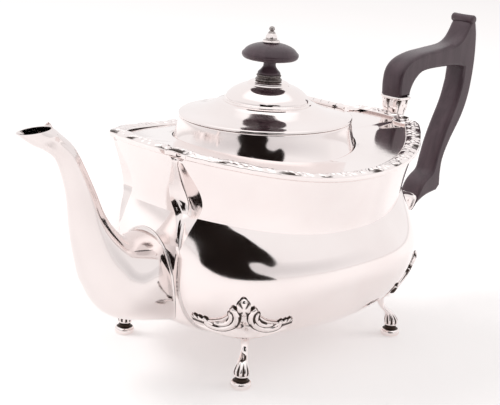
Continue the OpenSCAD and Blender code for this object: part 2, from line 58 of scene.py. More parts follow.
class Paint:  # one material and its nodes
    def __init__(self, name):
        self.material = bpy.data.materials.new(name)
        self.material.use_nodes = True
        self.tree = self.material.node_tree
        self.shader = self.tree.nodes["Principled BSDF"]

    def put(self, socket, value):
        if isinstance(value, Wire):
            self.tree.links.new(value.socket, socket)
        else:
            socket.default_value = value

    def add(self, kind, settings=None, inputs=None, output=0):
        node = self.tree.nodes.new(kind)
        for key, value in (settings or {}).items():
            setattr(node, key, value)
        for key, value in (inputs or {}).items():
            self.put(node.inputs[key], value)
        return Wire(self, node.outputs[output])

    def mix(self, factor, first, second):
        return self.add("ShaderNodeMix", {"data_type": "RGBA"}, {0: factor, 6: first, 7: second}, 2)

    def noise(self, scale, detail, rough=0.5, stretch=(1, 1, 1), distortion=0.0):
        where = self.add("ShaderNodeTexCoord", output=3)
        spot = self.add("ShaderNodeMapping", {}, {"Vector": where, "Scale": stretch})
        return self.add("ShaderNodeTexNoise", {}, {"Vector": spot, "Scale": scale, "Detail": detail,
                                                   "Roughness": rough, "Distortion": distortion})

    def span(self, value, low, high):
        return self.add("ShaderNodeMapRange", {}, {0: value, 1: low, 2: high})

    def attribute(self, name):
        return self.add("ShaderNodeAttribute", {"attribute_name": name}, output=2)

    def bump(self, height, strength, distance):
        return self.add("ShaderNodeBump", {}, {"Height": height, "Strength": strength, "Distance": distance})

    def finish(self, **sockets):
        for key, value in sockets.items():
            self.put(self.shader.inputs[key.replace("_", " ")], value)
        return self.material


# spoutPaintedShade scales down the spout's colour: painted shade over the whole spout
silverLook = {"bright": (0.93, 0.865, 0.85), "shade": (0.85, 0.775, 0.76), "deposit": (0.05, 0.034, 0.027, 1),
              "shine": 0.055, "haze": 0.05, "scratches": 0.05, "dullness": 0.4, "cloudScale": 28.0,
              "scratchScale": 900.0, "fineScale": 2600.0, "waveScale": 60.0, "waveDepth": 0.001, "spoutPaintedShade": 0.93}


def makeSilver(name, aged, tone=1.0):
    paint = Paint(name)
    # tone below 1 darkens both colours; the spout uses it for painted shade
    bright, shade = (tuple(c * tone for c in silverLook[key]) + (1,) for key in ("bright", "shade"))
    cloud = paint.span(paint.noise(silverLook["cloudScale"], 3.0), 0.35, 0.7)
    scratch = paint.span(paint.noise(silverLook["scratchScale"], 2.0, 0.6, (1, 1, 0.06)), 0.58, 0.75)
    fine = paint.span(paint.noise(silverLook["fineScale"], 2.0), 0.3, 0.7)
    colour = paint.mix(cloud * 0.6, bright, shade)
    rough = silverLook["shine"] + silverLook["haze"] * cloud + silverLook["scratches"] * scratch
    if aged:  # dark deposit in the hollows of cast work
        hollow = paint.span(paint.attribute("age") + (fine - 0.5) * 0.25, 0.3, 0.75)
        colour = paint.mix(hollow, colour, silverLook["deposit"])
        rough = rough + hollow * silverLook["dullness"]
    relief = paint.bump(paint.noise(silverLook["waveScale"], 2.0) + fine * 0.02, 0.06, silverLook["waveDepth"])
    return paint.finish(Base_Color=colour, Metallic=1.0, Roughness=rough, Normal=relief)


ebonyLook = {"base": (0.047, 0.025, 0.034, 1), "vein": (0.085, 0.052, 0.064, 1), "wear": (0.13, 0.09, 0.102, 1),
             "gloss": 0.42, "coat": 0.08, "coatRough": 0.2, "shine": 0.27, "grainRough": 0.14, "poreRough": 0.08,
             "wearRough": 0.06, "grainScale": 160.0, "poreScale": 1500.0, "wearScale": 36.0, "poreDepth": 0.0006}


def makeEbony(name):
    paint = Paint(name)
    grain = paint.noise(ebonyLook["grainScale"], 5.0, 0.6, (1, 1, 0.12), 0.4)
    pore = paint.span(paint.noise(ebonyLook["poreScale"], 3.0, 0.6, (1, 1, 0.05)), 0.55, 0.7)
    worn = paint.span(paint.noise(ebonyLook["wearScale"], 3.0), 0.55, 0.8)
    colour = paint.mix(paint.span(grain, 0.35, 0.7), ebonyLook["base"], ebonyLook["vein"])
    colour = paint.mix(worn * 0.5, colour, ebonyLook["wear"])
    rough = ebonyLook["shine"] + ebonyLook["grainRough"] * grain + ebonyLook["poreRough"] * pore
    rough = rough + ebonyLook["wearRough"] * worn
    relief = paint.bump(pore * -0.5 + grain * 0.3, 0.12, ebonyLook["poreDepth"])
    return paint.finish(Base_Color=colour, Metallic=0.0, Roughness=rough, Normal=relief,
                        Specular_IOR_Level=ebonyLook["gloss"], Coat_Weight=ebonyLook["coat"],
                        Coat_Roughness=ebonyLook["coatRough"])


brassLook = {"bright": (0.74, 0.55, 0.27, 1), "shade": (0.58, 0.41, 0.18, 1), "spot": (0.2, 0.12, 0.06, 1),
             "shine": 0.16, "cloudRough": 0.12, "spotRough": 0.15, "cloudScale": 90.0, "spotScale": 700.0}


def makeBrass(name):
    paint = Paint(name)
    cloud = paint.noise(brassLook["cloudScale"], 3.0)
    spots = paint.span(paint.noise(brassLook["spotScale"], 3.0), 0.55, 0.75)
    colour = paint.mix(cloud, brassLook["bright"], brassLook["shade"])
    colour = paint.mix(spots * 0.5, colour, brassLook["spot"])
    rough = brassLook["shine"] + cloud * brassLook["cloudRough"] + spots * brassLook["spotRough"]
    return paint.finish(Base_Color=colour, Metallic=1.0, Roughness=rough)


silver = makeSilver("polishedSilver", False)
castSilver = makeSilver("castSilver", True)
# the spout's silver is a darker copy of the same silver: painted shade over the whole spout
spoutShadedSilver = makeSilver("spoutShadedSilver", False, silverLook["spoutPaintedShade"])
ebony = makeEbony("ebonisedWood")
brass = makeBrass("polishedBrass")
print("materials made")


def blend(a, b, k):
    return a + (b - a) * k


def turns(count):  # evenly spaced angles round a circle
    return [2 * math.pi * j / count for j in range(count)]


def catmull(points, steps):  # a smooth line through rows of numbers
    out = []
    last = len(points) - 1
    for i in range(last):
        near = [points[max(0, min(last, i + k))] for k in (-1, 0, 1, 2)]
        for s in range(steps):
            t = s / steps
            out.append([0.5 * (2 * b + (c - a) * t + (2 * a - 5 * b + 4 * c - d) * t * t
                               + (3 * b - a - 3 * c + d) * t ** 3) for a, b, c, d in zip(*near)])
    return out + [list(points[-1])]


def skin(name, rings, loop=False, around=True, caps=False, sharpRings=(), sharpCols=(), ages=None,
         colRows=10 ** 6):
    n, m = len(rings[0]), len(rings)
    points = [tuple(c * mm for c in p) for ring in rings for p in ring]
    faces = []
    for i in range(m if loop else m - 1):
        o = (i + 1) % m
        for j in range(n if around else n - 1):
            k = (j + 1) % n
            faces.append((i * n + j, i * n + k, o * n + k, o * n + j))
    if caps:
        faces += [tuple(range(n - 1, -1, -1)), tuple((m - 1) * n + j for j in range(n))]
    return solidFrom(name, points, faces, n, m, sharpRings, sharpCols, ages, colRows=colRows)


def solidFrom(name, points, faces, n=0, m=0, sharpRings=(), sharpCols=(), ages=None, sharpAngle=None, colRows=0):
    mesh = bpy.data.meshes.new(name)
    mesh.from_pydata(points, [], faces)
    mesh.update()
    mesh.shade_smooth()
    if sharpAngle:
        mesh.set_sharp_from_angle(angle=math.radians(sharpAngle))
    rows, cols = {r % m for r in sharpRings}, set(sharpCols)
    if rows or cols:
        for edge in mesh.edges:
            (rowA, colA), (rowB, colB) = (divmod(v, n) for v in edge.vertices)
            onRing = rowA == rowB and rowA in rows
            onCol = rowA != rowB and colA == colB and colA in cols and max(rowA, rowB) <= colRows
            if onRing or onCol:
                edge.use_edge_sharp = True
    if ages is not None:
        mesh.attributes.new("age", "FLOAT", "POINT").data.foreach_set("value", ages)
    piece = bpy.data.objects.new(name, mesh)
    bpy.context.scene.collection.objects.link(piece)
    return piece


def join(name, pieces):
    bpy.ops.object.select_all(action="DESELECT")
    for p in pieces:
        p.select_set(True)
    bpy.context.view_layer.objects.active = pieces[0]
    bpy.ops.object.join()
    pieces[0].name = name
    pieces[0].data.name = name
    return pieces[0]


def dress(piece, material, slot, body, *nodes):
    piece.data.materials.clear()
    piece.data.materials.append(material)
    if nodes:
        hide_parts(*nodes)
    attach(piece, body)
    return piece


def lathe(profile, centre, count=96):
    return [[(centre[0] + r * math.cos(a), centre[1] + r * math.sin(a), centre[2] + z) for a in turns(count)]
            for r, z in profile]


# the body's plan, shared by everything that sits on the body
pot = {"bodyX": -3.0, "rimLen": 168.0, "rimWid": 124.0, "rimZ": 96.0, "rimRise": 10.0,
       "waistLen": 154.0, "waistWid": 110.0, "waistZ": 69.5, "bellyLen": 160.0, "bellyWid": 128.0, "bellyZ": 51.5,
       "baseLen": 92.0, "baseWid": 66.0, "baseZ": 17.5, "wall": 1.2, "panelHalf": 21.0, "fluteHalf": 8.0,
       "handleBow": 2.1, "spoutBow": 2.6, "ear": 3.6, "earShare": 0.1, "neckCurve": 1.3, "shoulderCurve": 1.9,
       "ovalPower": 2.3, "ovalCurve": 0.6, "handleRise": 0.78, "spoutRise": 1.15, "waistRise": 0.9, "fluteTurn": 143}
panelSteps, fluteSteps, sideSteps = 10, 18, 30
panelT, fluteT = 3 / 14, 7 / 14
samples = [panelT * i / panelSteps for i in range(panelSteps)] \
    + [panelT + (fluteT - panelT) * i / fluteSteps for i in range(fluteSteps)] \
    + [fluteT + (1 - fluteT) * i / sideSteps for i in range(sideSteps + 1)]
quad = len(samples) - 1
creases = [q for c in (panelSteps, panelSteps + fluteSteps) for q in (c, 2 * quad - c, 2 * quad + c, 4 * quad - c)]


def quarter(t, hl, hw, c, bow):  # end panel, corner flute and bowed side of one quarter
    e = (hl - 1, pot["panelHalf"] - 1.05 * c)
    s = (hl - 1 - 0.8 * c, pot["panelHalf"] + 0.75 * c)
    if t <= panelT:
        return hl - (t / panelT) ** 2, e[1] * t / panelT
    if t <= fluteT:
        u = (t - panelT) / (fluteT - panelT)
        d = 0.45 * c * math.sin(math.pi * u)
        return e[0] + (s[0] - e[0]) * u - d, e[1] + (s[1] - e[1]) * u - d
    v = (1 - t) / (1 - fluteT)
    return s[0] * v, hw - (hw - s[1]) * v ** bow


def oval(a, hl, hw):
    p = pot["ovalPower"]
    r = (abs(math.cos(a)) ** p + abs(math.sin(a)) ** p) ** (-1 / p)
    return hl * r * math.cos(a), hw * r * math.sin(a)


def ovalX(y, hl, hw):
    p = pot["ovalPower"]
    return hl * max(0.01, 1 - (abs(y) / hw) ** p) ** (1 / p)


def ring(hl, hw, c, mix, z, rise):
    corners = []
    for bow in (pot["handleBow"], pot["spoutBow"]):
        corner = []
        for t in samples:
            x, y = quarter(t, hl, hw, c, bow)
            if mix > 0:
                ox, oy = oval(math.atan2(y / hw, x / hl), hl, hw)
                x, y = blend(x, ox, mix), blend(y, oy, mix)
            corner.append((x, y))
        corners.append(corner)
    out = []
    for q in range(4):
        corner = corners[0 if q in (0, 3) else 1]
        for i in range(quad):
            x, y = corner[i] if q % 2 == 0 else corner[quad - i]
            sx, sy = (1 if q in (0, 3) else -1), (1 if q < 2 else -1)
            lift = pot["handleRise"] if sx > 0 else pot["spoutRise"]
            out.append((pot["bodyX"] + sx * x, sy * y, z + rise * (x / hl) ** 2 * lift))
    return out


def halves(low, high, k, inset=0):  # half length and half width between two levels
    return [blend(pot[low + part], pot[high + part], k) / 2 - inset for part in ("Len", "Wid")]


def flute(u):  # size of the corner hollow, u is 0 at the waist and 1 at the rim
    return pot["fluteHalf"] * (0.2 + 0.8 * math.sin(math.radians(pot["fluteTurn"] * max(0, 1 - u) ** 1.3))) \
        + pot["ear"] * max(0, 1 - (1 - u) / pot["earShare"]) ** 2


def neckRing(u, inset=0, up=0):
    return ring(*halves("waist", "rim", u ** pot["neckCurve"], inset), flute(u), 0,
                blend(pot["waistZ"], pot["rimZ"], u) + up, pot["rimRise"] * blend(pot["waistRise"], 1, u))


def shoulderRing(w, inset=0):
    return ring(*halves("waist", "belly", 1 - (1 - w) ** pot["shoulderCurve"], inset),
                flute(0) * max(0, 1 - 1.7 * w), w ** pot["ovalCurve"], blend(pot["waistZ"], pot["bellyZ"], w),
                pot["rimRise"] * pot["waistRise"] * (1 - w))


def bowlRing(w, inset=0):
    return ring(*halves("base", "belly", math.cos(math.pi / 2 * w), inset), 0, 1,
                pot["bellyZ"] - (pot["bellyZ"] - pot["baseZ"]) * math.sin(math.pi / 2 * w), 0)


def bellySizes(z):
    if z < pot["bellyZ"]:
        depth = min(1, (pot["bellyZ"] - z) / (pot["bellyZ"] - pot["baseZ"]))
        return halves("base", "belly", math.cos(math.asin(depth)))
    k = max(0, (z - pot["bellyZ"]) / (pot["waistZ"] - pot["bellyZ"])) ** pot["shoulderCurve"]
    return halves("belly", "waist", k)


def endX(y, z, lift):  # how far an end of the body reaches, shoulder included
    if z < pot["bellyZ"]:
        return ovalX(y, *bellySizes(z))
    crest = pot["waistZ"] + pot["rimRise"] * pot["waistRise"] * lift
    w = max(0, (crest - z) / (crest - pot["bellyZ"]))
    hl, hw = halves("waist", "belly", 1 - (1 - w) ** pot["shoulderCurve"])
    return blend(hl, ovalX(y, hl, hw), w ** pot["ovalCurve"])


def bellyPoint(a, z, out):
    hl, hw = bellySizes(z)
    x, y = oval(math.atan2(math.sin(a) / hw, math.cos(a) / hl), hl, hw)
    return pot["bodyX"] + x + out * math.cos(a), y + out * math.sin(a), z


neckSteps, shoulderSteps, bowlSteps = 26, 16, 26
outer = [neckRing(1 - i / neckSteps) for i in range(neckSteps + 1)] \
    + [shoulderRing(i / shoulderSteps) for i in range(1, shoulderSteps + 1)] \
    + [bowlRing(i / bowlSteps) for i in range(1, bowlSteps + 1)]
inner = [bowlRing(i / 12 * 0.97, pot["wall"]) for i in range(12, -1, -1)] \
    + [shoulderRing(i / 8, pot["wall"]) for i in range(7, 0, -1)] \
    + [neckRing(i / 8, pot["wall"]) for i in range(0, 9)]
body = skin("bodyShell", outer + inner, loop=True, sharpCols=creases,
            sharpRings=(0, neckSteps, len(outer) - 1, len(outer), len(outer) + len(inner) - 1),
            colRows=neckSteps + round(0.55 * shoulderSteps))
dress(body, silver, "silver", "pot", "body")
print("body made")


# cast border round the rim
border = {"width": 5.5, "over": 2.1, "height": 2.2, "plate": 1.1, "motif": 12.5, "points": 1600, "reach": 9}


def evenRing(points, count):  # the same closed line with evenly spaced points
    total, marks = 0.0, [0.0]
    for a, b in zip(points, points[1:] + points[:1]):
        total += math.dist(a, b)
        marks.append(total)
    out, i = [], 0
    for k in range(count):
        want = total * k / count
        while marks[i + 1] < want:
            i += 1
        t = (want - marks[i]) / (marks[i + 1] - marks[i])
        a, b = points[i], points[(i + 1) % len(points)]
        out.append(tuple(blend(p, q, t) for p, q in zip(a, b)))
    return out, total


def outward(points):  # unit normals in plan
    out = []
    for i in range(len(points)):
        a, b = points[i - border["reach"]], points[(i + border["reach"]) % len(points)]
        dx, dy = b[0] - a[0], b[1] - a[1]
        size = math.hypot(dx, dy)
        out.append((dy / size, -dx / size))
    return out


def humpAt(x, centre, half):
    d = (x - centre) / half
    return max(0.0, 1 - d * d)


def borderRelief(along, across):  # along counts motifs, across is 0 at the inner edge and 1 at the outer edge
    cell = math.floor(along)
    f = along - cell
    side = 1 if cell % 2 == 0 else -1
    swirl = 0.5 + side * 0.22 * math.sin(2 * math.pi * f)
    scroll = humpAt(across, swirl, 0.17) ** 0.6
    eye = humpAt(math.hypot((f - 0.27) * 1.7, across - 0.5 - side * 0.06), 0, 0.2) ** 0.5
    bud = humpAt(math.hypot((f - 0.76) * 1.7, across - 0.5 + side * 0.06), 0, 0.16) ** 0.5
    leaves = 0.55 * max(0.0, math.sin(6 * math.pi * f)) ** 0.7 * humpAt(across, 0.5 - side * 0.26, 0.16) ** 0.5
    return max(scroll * 0.85, eye, bud * 0.9, leaves)


rimLine, rimSize = evenRing(neckRing(1, 0, border["plate"]), border["points"])
motifs = round(rimSize / border["motif"])
borderRows, borderAges = [], []
for j, (p, o) in enumerate(zip(rimLine, outward(rimLine))):
    along = motifs * j / len(rimLine)
    row = []
    patch = max(0.0, 1.7 * (0.5 + 0.5 * math.sin(along * math.pi + 1.3 * math.sin(along * 1.7))) - 0.7)
    for a in (i / 14 for i in range(15)):
        crown = math.sqrt(max(0.0, 1 - (2 * a - 1) ** 2 * 0.82))
        relief = borderRelief(along, a)
        lip = 1.0 if a > 0.93 or a < 0.07 else 0.0
        h = border["height"] * (crown * 0.66 + 0.3 * max(relief, lip * 0.3))
        row.append((blend(-border["width"], border["over"], a), h))
        borderAges.append(0.0 if relief > 0.3 or lip else (1.0 - relief * 2.5) * patch * (0.2 + 0.8 * a))
    scallop = 0.21 * abs(math.sin(math.pi * along * 2))
    row += [(2.15 - scallop, 0.5), (2.15, -0.9), (1.4, -1.6), (0.35, -1.75), (0.35, 0.0), (-border["width"], 0.6)]
    borderAges += [0.15] * 6
    borderRows.append([(p[0] + o[0] * d, p[1] + o[1] * d, p[2] + h) for d, h in row])
rimBorder = skin("rimBorder", borderRows, loop=True, ages=borderAges)
dress(rimBorder, castSilver, "silver", "pot", "rim_border")
print("border made")


# top plate and collar
top = {"lidX": -9.0, "lidLen": 88.0, "lidWid": 78.0, "seatZ": 112.5, "seatW": 5.0, "spread": 3.0, "hingeX": 43.0,
       "barrel": 1.6, "plateT": 1.0}
shelf = top["hingeX"] + top["barrel"] + 2.5
footZ = pot["rimZ"] + 0.25 * pot["rimRise"] + top["plateT"]
rimTop = neckRing(1, 0, top["plateT"] + 0.1)
rimAngles = [math.atan2(p[1] / (pot["rimWid"] / 2), (p[0] - pot["bodyX"]) / (pot["rimLen"] / 2)) for p in rimTop]


def lidRing(grow, z, cut, spread=(0, 0)):
    rx, ry = (top["lidLen"] + spread[0]) / 2 + grow, (top["lidWid"] + spread[1]) / 2 + grow
    return [(top["lidX"] + min(cut, rx * math.cos(a)), ry * math.sin(a), z) for a in rimAngles]


def footLevel(x):
    return footZ + 0.35 * pot["rimRise"] * ((x - top["lidX"]) / (top["lidLen"] / 2)) ** 2


def collarRing(k, inset=0):
    out = top["spread"] * k ** 1.8
    flat = lidRing(-inset, 0, shelf + out * 0.2 - inset, (out, 2 * out))
    return [(x, y, blend(top["seatZ"], footLevel(x), k)) for x, y, z in flat]


plateSteps, wallSteps, backSteps = 24, 24, 8
collarFoot = collarRing(1)
plateRows = []
for k in (i / plateSteps for i in range(plateSteps + 1)):
    curl = 17.5 * max(0, k - 0.8) ** 2  # the plate turns up where it meets the collar
    plateRows.append([(blend(a[0], b[0], k * 0.985), blend(a[1], b[1], k * 0.985),
                       blend(a[2], b[2] - 0.3, k ** 0.8) + curl) for a, b in zip(rimTop, collarFoot)])
under = [[(x, y, z - 0.9) for x, y, z in row] for row in reversed(plateRows)]
topPlate = skin("topPlate", plateRows + under, loop=True,
                sharpRings=(0, plateSteps, plateSteps + 1, 2 * plateSteps + 1))
dress(topPlate, silver, "silver", "pot", "top_plate")
seat = [(-top["seatW"], 0, top["hingeX"] - 4), (-1.2, 0, shelf - 1.2), (-0.5, -0.05, shelf - 0.5)]
collarRows = [lidRing(grow, top["seatZ"] + z, cut) for grow, z, cut in seat] \
    + [collarRing(0.02 + 0.98 * i / wallSteps, 0.25 * (1 - i / wallSteps) ** 8) for i in range(wallSteps + 1)] \
    + [collarRing(1 - i / backSteps, 1.0) for i in range(backSteps)] \
    + [lidRing(grow, top["seatZ"] - 1.2, cut) for grow, z, cut in reversed(seat[:2])]
wallEnd = len(seat) + wallSteps
collar = skin("lidCollar", collarRows, loop=True,
              sharpRings=[0, 1, wallEnd, wallEnd + 1] + [wallEnd + backSteps + i for i in range(3)])
dress(collar, silver, "silver", "pot", "lid_collar")
print("top made")


lidShape = {"domeH": 17.0, "domeR": 20.0, "wall": 1.0, "sides": 192}
lidLow = top["seatZ"] + 0.3
domeTop = lidLow + lidShape["domeH"]
lidCut = top["hingeX"] - top["barrel"] - 0.3
neckR = lidShape["domeR"] + 3


def lidLoop(rx, ry, h, inset, cut=1000):
    z = lidLow + h * lidShape["domeH"] - inset * 0.8
    return [(top["lidX"] + min(cut, rx * math.cos(a)), ry * math.sin(a), z) for a in turns(lidShape["sides"])]


def skirtRing(k, h, inset=0):
    rx, ry = (blend(wide / 2 - inset, neckR - inset, k) for wide in (top["lidLen"], top["lidWid"]))
    return lidLoop(rx, ry, h, inset, blend(lidCut - inset, neckR + 1, k))


def domeRing(k, h, inset=0):
    r = max(1.6, lidShape["domeR"] * k - inset * 0.6)
    return lidLoop(r, r, h, inset)


# each line: share of the dome's radius and of its height
domeLines = [[[0.08, 0.995], [0.3, 0.995], [0.42, 0.985], [0.47, 0.955]],
             [[0.475, 0.945], [0.5, 0.925], [0.515, 0.895]],
             [[0.52, 0.89], [0.66, 0.845], [0.8, 0.76], [0.92, 0.65], [0.985, 0.54], [1.0, 0.47]],
             [[1.01, 0.455], [1.045, 0.45], [1.06, 0.43], [1.065, 0.405]]]
skirtLine = [[0.95, 0.375], [0.85, 0.315], [0.6, 0.205], [0.35, 0.135], [0.14, 0.095], [0.02, 0.065]]
lidRows, lidSharp = [], []
for line in domeLines:
    lidRows += [domeRing(*p) for p in catmull(line, 5)]
    lidSharp.append(len(lidRows) - 1)
lidRows += [skirtRing(*p) for p in catmull(skirtLine, 6)] + [skirtRing(0, 0.05), skirtRing(0, 0.0)]
lidSharp += [len(lidRows) - 3, len(lidRows) - 1, len(lidRows)]
lidRows += [[(x, y, lidLow) for x, y, z in skirtRing(0, 0, lidShape["wall"])]] \
    + [skirtRing(*p, lidShape["wall"]) for p in ((0.1, 0.09), (0.55, 0.18), (0.95, 0.36))] \
    + [domeRing(*p, lidShape["wall"]) for p in ((1.01, 0.45), (0.92, 0.65), (0.66, 0.86), (0.34, 1), (0.08, 1))]
dress(skin("lidShell", lidRows, loop=True, sharpRings=lidSharp), silver, "silver", "lid", "lid")
print("lid made")


knobShape = {"radius": 13.5, "height": 15.0, "capShare": 0.62, "bore": 1.6, "ringHeight": 3, "ringAge": 0.68,
             "studFrom": 10, "studR": 1.5, "buttonSides": 64}
knobZ = domeTop + knobShape["ringHeight"]
cap = knobShape["height"] * knobShape["capShare"]
crown = [(knobShape["radius"] - 2.4 + 2.4 * math.cos(a), cap + 2.2 * math.sin(a))
         for a in (math.radians(-90 + 11 * i) for i in range(11))] \
    + [((knobShape["radius"] - 0.8) * math.cos(a), cap + 0.6 + (knobShape["height"] - cap - 0.6) * math.sin(a))
       for a in (math.radians(14 + 5.9 * i) for i in range(11))]
stem = catmull([[5.3, 0], [5.35, 0.9], [4.0, 2.4], [3.0, 4.1], [3.3, cap - 2.7], [5.0, cap - 2.05],
                [8.0, cap - 2.2]], 5)
knobLine = [(knobShape["bore"], 0.02)] + stem + crown + [(knobShape["bore"], knobShape["height"] - 0.05)]
knob = skin("knob", lathe(knobLine, (top["lidX"], 0, knobZ)), loop=True, sharpRings=(1, 2))
dress(knob, ebony, "ebony", "lid", "knob")
ringLine = catmull([[6.2, 0.15], [6.35, 0.6], [5.9, 1.15], [5.45, 1.5], [5.5, 1.9], [5.9, 2.3], [5.75, 2.8],
                    [5.5, 2.95]], 5)
ringRows = lathe([(knobShape["bore"], 0.05), (6.1, 0.05)] + ringLine + [(knobShape["bore"], 2.98)],
                 (top["lidX"], 0, domeTop))
knobRing = skin("knobRing", ringRows, loop=True, ages=[knobShape["ringAge"] for row in ringRows for _ in row])
dress(knobRing, castSilver, "silver", "lid", "knob_ring")
buttonZ = knobZ + knobShape["height"] + 0.1
bell = catmull([[4.05, 0.05], [4.1, 0.5], [4.0, 0.9], [3.1, 1.25], [2.6, 1.6], [2.75, 2.1], [2.45, 3.0], [1.9, 4.1],
                [1.25, 5.0], [0.82, 5.35], [1.15, 5.6], [1.38, 6.1], [1.2, 6.8], [0.7, 7.3], [0.05, 7.48]], 6)
studEnd, studR = lidLow + knobShape["studFrom"] - buttonZ, knobShape["studR"]
stud = [(0.02, studEnd), (studR, studEnd), (studR, -0.02), (4.0, 0.0)]
buttonRows = lathe(stud + bell, (top["lidX"], 0, buttonZ), knobShape["buttonSides"])
buttonAges = []
for z in (row[0][2] - buttonZ for row in buttonRows):  # darkest on the small ball and in the neck of the flange
    buttonAges += [0.58 if z > 4.2 else 0.5 if 1.0 < z < 2.2 else 0.3] * knobShape["buttonSides"]
button = skin("knobButton", buttonRows, sharpRings=(1, 2, 3), ages=buttonAges)
dress(button, castSilver, "silver", "lid", "knob_button")
print("knob made")


spout = {"tipX": -145.5, "mouthZ": 122.5, "tipR": 4.6, "rootR": 23.0, "rootZ": 45.5, "steps": 7, "sides": 96,
         "ridge": 58, "ridgeRoot": 36, "rootTop": 1.2, "rootWide": 0.82, "channel": 0.04, "keel": 0.03,
         "plainFrom": 0.86, "topShift": 8.5, "peak": 2.2, "wall": 1.0}
# each station: x and z from the mouth, growth of the radius, turn of the ring
spoutPath = [[1.9, -2.1, 3.8, -85], [6.0, -5.0, 1.5, -62], [11, -8.0, 0.3, -49], [17, -13, 0.2, -54],
             [21.5, -21, 0.7, -64], [26, -32, 1.8, -70], [30, -45, 3.8, -68], [35, -56, 6.4, -58],
             [41.5, -65.5, 10.0, -44], [50, -73, 14.4, -16]]


def aroundTube(j, k):  # angle of a point round the tube, closer together above the ridges
    ridge = math.radians(blend(spout["ridge"], spout["ridgeRoot"], min(1, k * 1.6)))
    n, h = spout["sides"] // 8, min(j, spout["sides"] - j)
    return (ridge * h / n if h <= n else ridge + (math.pi - ridge) * (h - n) / (spout["sides"] / 2 - n)), ridge


def halfSign(j):
    return 1 if j <= spout["sides"] // 2 else -1


def spoutRing(station, k, inset=0):
    x, z, grow, turn = station
    r = spout["tipR"] + grow - inset
    w = blend(spout["tipR"] + 0.6, (spout["tipR"] + grow) * 0.96, min(1, k * 5.5)) - inset  # half width
    a = math.radians(turn)
    shown = min(1, k * 5) * max(0, min(1, (spout["plainFrom"] - k) * 4))
    out = []
    for j in range(spout["sides"]):
        b, ridge = aroundTube(j, k)
        edge = spout["keel"] * max(0, 1 - abs(b - ridge) / 0.35)
        hollow = spout["channel"] * math.exp(-((b - ridge - 0.45) / 0.28) ** 2)
        size = 1 + shown * (edge - hollow)
        c, s = math.cos(b) * size, math.sin(b) * size * halfSign(j)
        out.append((spout["tipX"] + x + r * c * math.sin(-a), w * s, spout["mouthZ"] + z + r * c * math.cos(a)))
    return out


def spoutFoot(grow, lift):  # the tube's edge where it lies on the body
    out = []
    for j in range(spout["sides"]):
        b = aroundTube(j, 1)[0] * halfSign(j)
        y = (spout["rootR"] * spout["rootWide"] + grow) * math.sin(b)
        z = spout["rootZ"] + (spout["rootR"] + grow) * math.cos(b) + spout["rootTop"] * max(0, math.cos(b))
        out.append((pot["bodyX"] - endX(y, z, pot["spoutRise"]) - lift, y, z))
    return out


stations = catmull(spoutPath, spout["steps"])
keys = [spoutRing(p, i / (len(spoutPath) - 1)) for i, p in enumerate(spoutPath)]
for j in range(spout["sides"]):  # the upper side runs on level towards the pot
    x, y, z = keys[-1][j]
    keys[-1][j] = (x + spout["topShift"] * max(0, math.cos(aroundTube(j, 1)[0])), y, z)
keys.append(spoutFoot(-0.6, 0.5))
columns = [catmull([list(row[j]) for row in keys], spout["steps"]) for j in range(spout["sides"])]
tube = [[tuple(column[i]) for column in columns] for i in range(len(columns[0]))]
for j in range(spout["sides"]):  # small peak at the back of the mouth
    (x, y, z), k = tube[0][j], max(0, 1 - aroundTube(j, 0)[0] / 0.7)
    tube[0][j] = (x - 1.5 * k, y, z + spout["peak"] * k)
lipRows = [spoutRing(stations[0], 0, 0.8), [(x, y, z + 0.15) for x, y, z in spoutRing(stations[0], 0, 0.4)]]
outside = tube + [spoutFoot(0, 0.35), spoutFoot(0, 0.12)]
last = len(stations) - 1
inside = [spoutFoot(-2, 0.12)] + [spoutRing(stations[i], i / last, spout["wall"]) for i in range(last, 0, -4)]
spoutEnd = len(lipRows) + len(outside)
spoutSkin = skin("spoutTube", lipRows + outside + inside, loop=True, colRows=len(lipRows) + round(0.78 * len(tube)),
                 sharpRings=(0, 2, spoutEnd - 1, spoutEnd - 3),
                 sharpCols=(spout["sides"] // 8, spout["sides"] - spout["sides"] // 8))
# the spout is dressed in the darker copy of the silver: painted shade
dress(spoutSkin, spoutShadedSilver, "silver", "pot", "spout")
print("spout made")


grip = {"width": 13.0, "rollX": 145.2, "rollZ": 151.8, "rollR": 2.3, "crease": 38}
# side view of the wood, x and z
backLine = [[85.5, 113.5], [85, 120.5], [86.5, 127.5], [92, 132.5], [102, 135.5], [116, 137], [130, 138.5],
            [136.5, 141.3], [140.2, 145.6], [142.4, 149.3]]
rollArc = [[grip["rollX"] + grip["rollR"] * math.cos(a), grip["rollZ"] + grip["rollR"] * math.sin(a)]
           for a in (math.radians(d) for d in range(220, 20, -20))]
outerLine = [[149.0, 150.0], [150.7, 144], [151.5, 137], [151.8, 129.5], [151.2, 119.5], [149.3, 108.5],
             [144.8, 97.5], [136.2, 84.5], [131.4, 74.5], [130.6, 65.5]]
spur = [[131, 59.5], [128, 56.5]]
heel = [[128, 56.5], [119, 55], [112, 52], [106, 48]]
innerLine = [[110.5, 56], [114, 62], [118, 65.5], [122.5, 68.5], [124.5, 75], [127.5, 84.5], [132, 94.5],
             [138, 106.5], [141.2, 117.5]]
innerTop = [[142, 125.3], [136, 126.5], [122, 127], [106, 126], [99.5, 122.5], [96, 117.5], [95, 113.5]]
outline = catmull(backLine, 5)[:-1] + rollArc + catmull(outerLine, 5) + spur + catmull(heel, 4)[1:] \
    + catmull(innerLine, 5) + catmull(innerTop, 5)


def insetLine(points, depth):
    n, out = len(points), []
    for i, p in enumerate(points):
        a, b = points[i - 1], points[(i + 1) % n]
        ux, uz, vx, vz = p[0] - a[0], p[1] - a[1], b[0] - p[0], b[1] - p[1]
        lu, lv = math.hypot(ux, uz) or 1, math.hypot(vx, vz) or 1
        nx, nz = uz / lu + vz / lv, -ux / lu - vx / lv
        size = math.hypot(nx, nz) or 1
        out.append((p[0] + nx / size * depth, p[1] + nz / size * depth))
    return out


